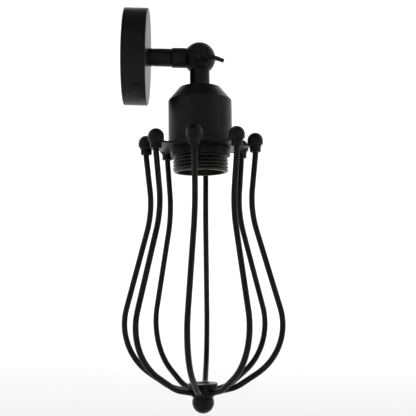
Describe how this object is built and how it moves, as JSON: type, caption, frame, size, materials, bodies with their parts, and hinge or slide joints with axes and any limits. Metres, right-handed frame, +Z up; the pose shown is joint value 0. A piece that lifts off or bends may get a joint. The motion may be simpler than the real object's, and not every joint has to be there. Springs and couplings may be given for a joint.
{
  "type": "cage wall light",
  "caption": "Black wall light on a round rose and short arm, with a tilting half-ball knuckle, a thumb lever, a screw lampholder and a balloon-shaped cage of bent rods.",
  "frame": {"origin": "middle of the rose's back plane, on the wall", "axes": "+X out of the wall along the arm, +Z up, +Y to the right of someone who faces the wall"},
  "size_m": [0.1185, 0.116, 0.288],
  "materials": {
    "black_coat": "satin",
    "black_moulding": "satin",
    "zinc_steel": "satin",
    "brass_metal": "satin",
    "white_moulding": "gloss",
    "fibre": "matte",
    "grommet_rubber": "matte"
  },
  "bodies": {
    "wall_side": {"rose_cover": "black_coat", "mounting_plate": "zinc_steel", "rose_side_screws": "black_coat", "cable_grommet": "grommet_rubber", "terminal_block": "white_moulding", "terminal_sleeves": "brass_metal", "terminal_block_screws": "zinc_steel", "earth_screw": "brass_metal", "earth_washer": "brass_metal", "arm_washer": "zinc_steel", "arm_nut": "zinc_steel", "arm_nipple": "zinc_steel", "arm_tube": "black_coat", "knuckle_fixed_half": "black_coat", "friction_washer": "fibre", "pivot_nut": "black_coat"},
    "lamp_head": {"knuckle_moving_half": "black_coat", "head_nipple": "zinc_steel", "cap_washer": "zinc_steel", "cap_nut": "zinc_steel", "lampholder_cap": "black_coat", "lampholder_body": "black_moulding", "insulator": "white_moulding", "screw_shell": "brass_metal", "shell_strap": "brass_metal", "contact_rivet": "brass_metal", "holder_terminals": "brass_metal", "holder_terminal_screws": "zinc_steel", "cage_plate": "black_coat", "lock_ring": "black_coat", "ball_nuts": "black_coat", "under_nuts": "black_coat", "cage_hub": "black_coat", "finial_screw": "black_coat", "finial_ball": "black_coat", "cage_rod_1": "black_coat", "cage_rod_2": "black_coat", "cage_rod_3": "black_coat", "cage_rod_4": "black_coat", "cage_rod_5": "black_coat", "cage_rod_6": "black_coat", "cage_rod_7": "black_coat", "cage_rod_8": "black_coat"},
    "thumb_lever_body": {"thumb_lever": "black_coat"},
    "contact": {"contact_leaf": "brass_metal"}
  },
  "joints": [
    {"name": "knuckle_tilt", "type": "hinge", "parent": "wall_side", "child": "lamp_head", "pos_m": [0.0541, 0, 0], "axis": [0, -1, 0], "range_deg": [0, 176]},
    {"name": "thumb_turn", "type": "hinge", "parent": "wall_side", "child": "thumb_lever_body", "pos_m": [0.0541, 0, 0], "axis": [0, -1, 0], "range_deg": [-90, 270]},
    {"name": "contact_flex", "type": "hinge", "parent": "lamp_head", "child": "contact", "pos_m": [0.04897, 0, -0.05629], "axis": [0, -1, 0], "range_deg": [0, 6], "stiffness_Nm_per_rad": 0.6}
  ]
}
